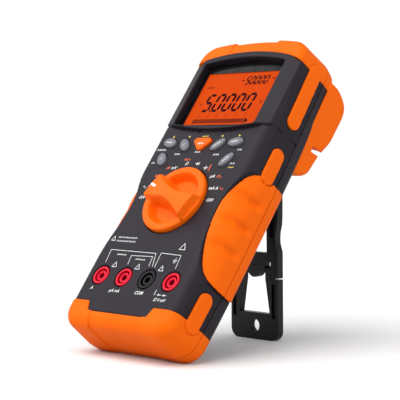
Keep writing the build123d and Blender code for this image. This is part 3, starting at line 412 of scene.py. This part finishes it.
def pointer_patch():
    """White line on the pointer's nose, a thin skin that follows the bar's top."""
    across, along = 6, 16
    start, length, width = 15.4, 5.6, 1.6
    points, faces = [], []
    for level in (0.06, -0.3):
        for i in range(along + 1):
            for j in range(across + 1):
                u = start + length * i / along
                v = width * (j / across - 0.5)
                points.append((u, v, float(knob_height(np.array(u), np.array(v))) + level))
    row, layer = across + 1, (across + 1) * (along + 1)
    for i in range(along):
        for j in range(across):
            a = i * row + j
            faces.append((a, a + row, a + row + 1, a + 1))
            faces.append((layer + a, layer + a + 1, layer + a + row + 1, layer + a + row))
    border = [i * row for i in range(along)] + [along * row + j for j in range(across)]
    border += [i * row + across for i in range(along, 0, -1)] + list(range(across, 0, -1))
    for a, b in zip(border, border[1:] + border[:1]):
        faces.append((a, layer + a, layer + b, b))
    mesh = bpy.data.meshes.new("pointer_line")
    mesh.from_pydata(points, [], faces)
    mesh.transform(KNOB)
    return mesh


pointer = new_object("pointer_line", pointer_patch(), "selector", MAT["mark"])
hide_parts("pointer_mark")

KEYS = ["key_first", "key_second", "key_fourth", "key_fifth", "key_low_left", "key_low_right", "key_shift"]
for key in KEYS:
    orange = key == "key_shift"
    soft_copy("soft_" + key, key, key + "_cap", MAT["key_orange" if orange else "key"],
              KEY_VOXEL, rounds=6)


# ------------------------------------------------------------------ printing

CAPITAL_SHARE = 0.7      # a capital's height as a share of the font's size
INK = 0.04
FINE = 0.3               # stroke widths in millimetres
THIN = 0.34
LINE = 0.36
BOLD = 0.4


class Print:
    """Flat marks on one plane of the case, gathered into one mesh."""

    def __init__(self, z, thick=INK):
        self.verts, self.faces, self.z, self.thick = [], [], z, thick

    def add_levels(self, points):
        """The points twice: on the face, then at the top of the ink."""
        for level in (self.z, self.z + self.thick):
            self.verts += [(x, y, level) for x, y in points]

    def polygon(self, points):
        """A filled outline, as a thin prism."""
        base = len(self.verts)
        n = len(points)
        self.add_levels(points)
        self.faces.append([base + i for i in reversed(range(n))])
        self.faces.append([base + n + i for i in range(n)])
        for i in range(n):
            j = (i + 1) % n
            self.faces.append([base + i, base + j, base + n + j, base + n + i])

    def stroke(self, points, width):
        """A line of even width through the points, one quad per run."""
        for (x0, y0), (x1, y1) in zip(points, points[1:]):
            length = math.hypot(x1 - x0, y1 - y0)
            ux, uy = (x1 - x0) / length, (y1 - y0) / length
            h = width / 2
            ex, ey = ux * h, uy * h
            nx, ny = -uy * h, ux * h
            self.polygon([(x0 - ex - nx, y0 - ey - ny), (x1 + ex - nx, y1 + ey - ny),
                          (x1 + ex + nx, y1 + ey + ny), (x0 - ex + nx, y0 - ey + ny)])

    def ring(self, x, y, radius, width, turn=(0, 360), steps=24):
        angles = [math.radians(turn[0] + (turn[1] - turn[0]) * i / steps) for i in range(steps + 1)]
        self.stroke([(x + radius * math.cos(a), y + radius * math.sin(a)) for a in angles], width)

    def triangle_outline(self, x, y, size, width):
        points = [(x - size * 0.5, y - size * 0.4), (x + size * 0.5, y - size * 0.4), (x, y + size * 0.5)]
        self.stroke(points + points[:1], width)

    def text(self, words, x, y, height, lean=0.22):
        """Plain letters, centred on (x, y), of that capital height."""
        curve = bpy.data.curves.new("letters", "FONT")
        curve.body = words
        curve.size = height / CAPITAL_SHARE
        curve.shear = lean
        curve.align_x = "CENTER"
        curve.align_y = "CENTER"
        curve.resolution_u = 3
        curve.offset = height * 0.015
        obj = bpy.data.objects.new("letters", curve)
        bpy.context.scene.collection.objects.link(obj)
        bpy.context.view_layer.update()
        mesh = finished(obj)
        base = len(self.verts)
        n = len(mesh.vertices)
        self.add_levels([(v.co.x + x, v.co.y + y) for v in mesh.vertices])
        used = {}
        for poly in mesh.polygons:
            ids = list(poly.vertices)
            up = poly.normal.z > 0
            top = ids if up else ids[::-1]
            self.faces.append([base + n + i for i in top])
            self.faces.append([base + i for i in reversed(top)])
            for i, j in zip(top, top[1:] + top[:1]):
                used[(i, j)] = True
        for i, j in used:
            if (j, i) not in used:
                self.faces.append([base + i, base + j, base + n + j, base + n + i])
        bpy.data.meshes.remove(mesh)

    def build(self, name, body, material):
        mesh = bpy.data.meshes.new(name)
        mesh.from_pydata(self.verts, [], self.faces)
        mesh.transform(CASE)
        mesh.validate()
        return new_object(name, mesh, body, material)


def words(sheet, x, y, length, height=1.1, gaps=3):
    """A run of short bars that stands for a small printed word."""
    step = length / gaps
    for i in range(gaps):
        left = x - length / 2 + i * step
        sheet.stroke([(left + 0.1, y - height * 0.3), (left + step * 0.35, y + height * 0.3)], 0.32)
        sheet.stroke([(left + step * 0.35, y + height * 0.3), (left + step * 0.7, y - height * 0.2)], 0.32)


def wave(sheet, x, y, size, width):
    """Sign for alternating current."""
    steps = 12
    sheet.stroke([(x + size * (i / steps - 0.5), y + 0.32 * size * math.sin(2 * math.pi * i / steps))
                  for i in range(steps + 1)], width)


def direct(sheet, x, y, size, width):
    """Sign for direct current: a line over three dashes."""
    sheet.stroke([(x - size / 2, y + 0.45), (x + size / 2, y + 0.45)], width)
    for k in (-1, 0, 1):
        middle = x + k * size * 0.36
        sheet.stroke([(middle - size * 0.1, y - 0.35), (middle + size * 0.1, y - 0.35)], width)


white = Print(0.0)
orange_print = Print(0.0)
yellow = Print(0.0)

white.text("OFF", -28.6, 86.5, 2.0)
white.text("OFF", 26.6, 86.2, 2.0)
wave(white, -31.0, 93.8, 2.6, THIN)
white.text("V", -27.6, 94.0, 2.1)
orange_print.text("V", -22.0, 101.8, 2.1)
direct(orange_print, -25.6, 101.8, 3.0, LINE)
white.text("mV", -15.0, 107.6, 2.1)
orange_print.stroke([(-20.9, 106.9), (-19.7, 108.2), (-19.7, 106.9), (-18.3, 108.2)], BOLD)
white.text("Ω", -6.3, 110.7, 2.1)
orange_print.stroke([(-9.6, 113.1), (-8.8, 114.3), (-8.0, 113.1)], BOLD)
orange_print.stroke([(-7.0, 113.1), (-7.0, 114.3)], BOLD)
orange_print.ring(-5.4, 113.7, 0.55, LINE)
white.stroke([(1.0, 110.8), (4.2, 110.8)], THIN)
white.polygon([(1.9, 111.8), (1.9, 109.8), (3.5, 110.8)])
white.stroke([(3.6, 109.8), (3.6, 111.8)], THIN)
white.stroke([(9.0, 108.0), (10.3, 108.0)], THIN)
white.stroke([(10.3, 107.0), (10.3, 109.0)], LINE)
white.stroke([(11.0, 107.0), (11.0, 109.0)], LINE)
white.stroke([(11.0, 108.0), (12.3, 108.0)], THIN)
orange_print.stroke([(13.9, 106.6), (13.9, 110.0)], 0.55)
orange_print.ring(13.9, 106.4, 0.45, 0.5)
white.text("μA", 19.4, 102.3, 2.1)
orange_print.stroke([(23.0, 101.6), (23.9, 103.0), (24.9, 103.0)], BOLD)
wave(orange_print, 25.4, 102.0, 2.2, LINE)
white.text("mA A", 24.8, 94.2, 2.1)
wave(orange_print, 31.0, 94.1, 2.6, LINE)
white.text("A", -30.4, 24.7, 2.0)
white.text("μA mA", -11.0, 24.3, 2.0)
white.text("COM", 8.9, 24.5, 2.0)
white.text("Ω V mV", 27.0, 21.6, 1.9)
white.stroke([(21.4, 24.4), (21.4, 27.4)], THIN)
for diode_x in (25.0, 29.0):
    white.stroke([(diode_x - 1.5, 24.7), (diode_x + 1.5, 24.7)], FINE)
    white.polygon([(diode_x - 0.7, 25.5), (diode_x - 0.7, 23.9), (diode_x + 0.6, 24.7)])
white.stroke([(-30.0, 41.9), (-30.9, 50.3), (6.6, 50.0), (9.0, 41.8)], FINE)
white.stroke([(-11.2, 41.8), (-11.9, 47.4), (5.4, 47.8), (6.2, 41.6)], FINE)
white.stroke([(11.0, 41.4), (10.5, 50.5), (26.5, 49.9), (27.2, 41.7)], FINE)
for tri_x, tri_y, tri_size in ((-21.2, 40.8, 3.6), (-2.0, 40.6, 3.6), (16.8, 40.8, 3.6), (24.9, 55.4, 4.4),
                               (-33.4, 57.7, 3.2)):
    white.triangle_outline(tri_x, tri_y, tri_size, THIN)
for row_y in (58.9, 56.4):
    words(white, -22.0, row_y, 16.0, 1.5, 8)
for low_x, low_y in ((-20.0, 47.6), (-3.0, 45.4)):
    words(white, low_x, low_y, 8.0, 1.2, 5)
for bar, half in ((46.6, 1.6), (45.8, 1.0), (45.0, 0.5)):
    white.stroke([(24.0 - half, bar), (24.0 + half, bar)], FINE)
white.stroke([(24.0, 46.6), (24.0, 48.2)], FINE)
for word_x, word_y, word_len in ((-33.1, 120.5, 7.5), (-18.2, 117.5, 4.5), (-2.3, 119.1, 4.5),
                                 (13.7, 117.3, 5.0), (30.2, 120.7, 3.6), (-34.6, 111.1, 3.0),
                                 (29.9, 111.2, 4.0)):
    words(white, word_x, word_y, word_len, 1.6, max(2, int(word_len / 1.4)))
words(yellow, 30.2, 108.6, 4.2, 1.5, 3)
words(yellow, -2.4, 130.3, 5.0, 1.4, 4)
for arrow_x, arrow_y, arrow_turn in ((-28.7, 129.9, 90), (-15.6, 130.1, 270), (11.1, 130.4, 180),
                                     (24.3, 130.6, 0)):
    corners = [math.radians(arrow_turn + a) for a in (0, 120, 240)]
    yellow.polygon([(arrow_x + 0.95 * math.cos(a), arrow_y + 0.95 * math.sin(a)) for a in corners])

# turn of each key's mark in degrees, and its length in millimetres (0 is a small ring)
KEY_MARKS = {
    "key_first": (-4.0, 5.0), "key_second": (-48.0, 0.0), "key_fourth": (42.0, 5.4), "key_fifth": (12.0, 5.0),
    "key_low_left": (-58.0, 0.0), "key_low_right": (52.0, 5.0), "key_shift": (4.0, 4.8)}


def key_mark(key, turn, length):
    """Light mark printed on a key cap, standing for its symbol."""
    inverse = CASE.inverted()
    co = [inverse @ v.co for v in NODES[key].data.vertices]
    top = max(c.z for c in co)
    x = (min(c.x for c in co) + max(c.x for c in co)) / 2
    y = (min(c.y for c in co) + max(c.y for c in co)) / 2
    sheet = Print(top - 0.04, 0.07)
    if length:
        words(sheet, 0.0, 0.0, length, 1.5, 4)
    else:
        sheet.ring(0.0, 0.0, 0.8, 0.32, (20, 340))
    c, s = math.cos(math.radians(turn)), math.sin(math.radians(turn))
    sheet.verts = [(x + u * c - v * s, y + u * s + v * c, z) for u, v, z in sheet.verts]
    sheet.build(key + "_mark", key + "_cap", MAT["mark"])


for key, (mark_turn, mark_length) in KEY_MARKS.items():
    key_mark(key, mark_turn, mark_length)

white.build("face_print_white", "case", MAT["mark"])
orange_print.build("face_print_orange", "case", MAT["mark_orange"])
yellow.build("face_print_yellow", "case", MAT["mark_yellow"])


# ------------------------------------------------------------------ display

LCD_Z = -2.59            # just above the cell's top
digits = Print(LCD_Z, 0.03)
LCD_LEAN = 0.14
SEGMENTS = {"0": "abcdef", "5": "acdfg", "-": "g"}


def digit(sheet, symbol, x, y, width, height, thick, lean):
    """Seven-segment digit with its lower left corner at (x, y)."""
    def at(u, v):
        return x + u * width + lean * v * height, y + v * height

    gap = 0.05
    ends = {"a": ((gap, 1), (1 - gap, 1)), "g": ((gap, 0.5), (1 - gap, 0.5)), "d": ((gap, 0), (1 - gap, 0)),
            "f": ((0, 0.52), (0, 0.98)), "b": ((1, 0.52), (1, 0.98)),
            "e": ((0, 0.02), (0, 0.48)), "c": ((1, 0.02), (1, 0.48))}
    for name in SEGMENTS[symbol]:
        (u0, v0), (u1, v1) = ends[name]
        (x0, y0), (x1, y1) = at(u0, v0), at(u1, v1)
        length = math.hypot(x1 - x0, y1 - y0)
        ux, uy = (x1 - x0) / length, (y1 - y0) / length
        h = thick / 2
        points = [(x0, y0), (x0 + ux * h - uy * h, y0 + uy * h + ux * h),
                  (x1 - ux * h - uy * h, y1 - uy * h + ux * h), (x1, y1),
                  (x1 - ux * h + uy * h, y1 - uy * h - ux * h), (x0 + ux * h + uy * h, y0 + uy * h - ux * h)]
        sheet.polygon(points[::-1])


for i, symbol in enumerate("50000"):
    digit(digits, symbol, -20.8 + i * 8.1, 151.0, 5.0, 11.6, 1.9, LCD_LEAN)
digits.polygon([(-14.2, 150.3), (-13.0, 150.3), (-13.0, 151.5), (-14.2, 151.5)])
for i, symbol in enumerate("-50000"):
    digit(digits, symbol, 0.0 + i * 3.7, 170.2, 2.3, 5.6, 1.0, LCD_LEAN)
digits.polygon([(10.7, 169.9), (11.3, 169.9), (11.3, 170.5), (10.7, 170.5)])
digits.text("V", 24.0, 156.5, 2.4, 0.15)
digits.text("Hz", 25.3, 173.8, 1.7, 0.15)
words(digits, -22.5, 168.6, 6.0, 2.0, 4)
wave(digits, -24.2, 156.0, 1.8, 0.3)
for i in range(6):
    digits.stroke([(-21.0 + i * 7.6, 146.2), (-20.5 + i * 7.6, 148.8)], 0.3)
for i in range(20):
    left = -23.4 + i * 2.08
    digits.polygon([(left, 141.8), (left + 1.3, 141.8), (left + 1.7, 144.8), (left + 0.4, 144.8)])
digits.polygon([(18.4, 141.2), (21.4, 143.3), (18.8, 145.4)])
digits.build("lcd_segments", "case", MAT["segment"])


# ------------------------------------------------------------------ floor, light and camera

FLOOR_COLOUR = (0.66, 0.66, 0.66, 1.0)
REACH = 0.9              # half the floor's side, in metres
HORIZON_LIGHT = 1.02
CEILING_LIGHT = 0.3

floor_mesh = bpy.data.meshes.new("floor")
floor_mesh.from_pydata([(-REACH, -REACH, 0), (REACH, -REACH, 0), (REACH, REACH, 0), (-REACH, REACH, 0)], [],
                       [(0, 1, 2, 3)])
floor = bpy.data.objects.new("floor", floor_mesh)
bpy.context.scene.collection.objects.link(floor)
paint(floor, surface("pale_floor", FLOOR_COLOUR, FLOOR_COLOUR, (0.7, 0.75), 40.0, 0.00002, 3.0))

world = bpy.data.worlds.new("studio")
bpy.context.scene.world = world
world.use_nodes = True
tree = world.node_tree
direction = tree.nodes.new("ShaderNodeTexCoord")
split = tree.nodes.new("ShaderNodeSeparateXYZ")
sky = tree.nodes.new("ShaderNodeMapRange")
sky.inputs["From Min"].default_value = 0.2
sky.inputs["From Max"].default_value = 0.45
sky.inputs["To Min"].default_value = HORIZON_LIGHT
sky.inputs["To Max"].default_value = CEILING_LIGHT
tree.links.new(direction.outputs["Generated"], split.inputs["Vector"])
tree.links.new(split.outputs["Z"], sky.inputs["Value"])
tree.links.new(sky.outputs["Result"], tree.nodes["Background"].inputs["Strength"])
tree.nodes["Background"].inputs["Color"].default_value = (1.0, 1.0, 1.0, 1.0)

aim = Vector((0.01101, -0.0162, 0.0855))


def lamp_object(name, lamp, offset):
    """The lamp at that offset from the middle of the view, turned towards it."""
    obj = bpy.data.objects.new(name, lamp)
    obj.location = aim + Vector(offset)
    obj.rotation_euler = (-Vector(offset)).to_track_quat("-Z", "Y").to_euler()
    bpy.context.scene.collection.objects.link(obj)


def area_light(name, offset, width, height, watts):
    lamp = bpy.data.lights.new(name, "AREA")
    lamp.shape = "RECTANGLE"
    lamp.size = width
    lamp.size_y = height
    lamp.energy = watts
    lamp_object(name, lamp, offset)


def soft_sun(name, offset, strength, spread):
    """Light of even strength from one side, with soft shadows."""
    lamp = bpy.data.lights.new(name, "SUN")
    lamp.energy = strength
    lamp.angle = math.radians(spread)
    lamp_object(name, lamp, offset)


soft_sun("key_light", (-0.12, -0.8, 1.3), 3.6, 60.0)
area_light("face_softbox", (-0.85, -0.3, 0.8), 1.1, 1.1, 5.0)
soft_sun("fill_light", (1.0, -0.1, 1.0), 0.9, 60.0)
area_light("right_strip", (1.1, 0.3, 0.5), 0.4, 1.0, 2.0)

AZIMUTH, ELEVATION, ROLL = math.radians(45.34), math.radians(2.51), math.radians(-0.46)
DISTANCE = 0.7555
FOCAL_PIXELS = 1346.9
IMAGE_PIXELS = 400.0
SENSOR_MM = 36.0
back = Vector((math.sin(AZIMUTH) * math.cos(ELEVATION), -math.cos(AZIMUTH) * math.cos(ELEVATION),
               math.sin(ELEVATION)))
side = Vector((math.cos(AZIMUTH), math.sin(AZIMUTH), 0.0))
upright = back.cross(side)
lens_right = side * math.cos(ROLL) + upright * math.sin(ROLL)
lens_up = upright * math.cos(ROLL) - side * math.sin(ROLL)
camera = bpy.data.cameras.new("camera")
camera.sensor_width = SENSOR_MM
camera.lens = FOCAL_PIXELS / IMAGE_PIXELS * SENSOR_MM
camera_object = bpy.data.objects.new("camera", camera)
eye = aim + back * DISTANCE
camera_object.matrix_world = Matrix((
    (lens_right.x, lens_up.x, back.x, eye.x),
    (lens_right.y, lens_up.y, back.y, eye.y),
    (lens_right.z, lens_up.z, back.z, eye.z),
    (0.0, 0.0, 0.0, 1.0)))
bpy.context.scene.collection.objects.link(camera_object)
bpy.context.scene.camera = camera_object
bpy.context.scene.view_settings.view_transform = "Standard"
bpy.context.scene.view_settings.look = "None"

bpy.context.view_layer.update()
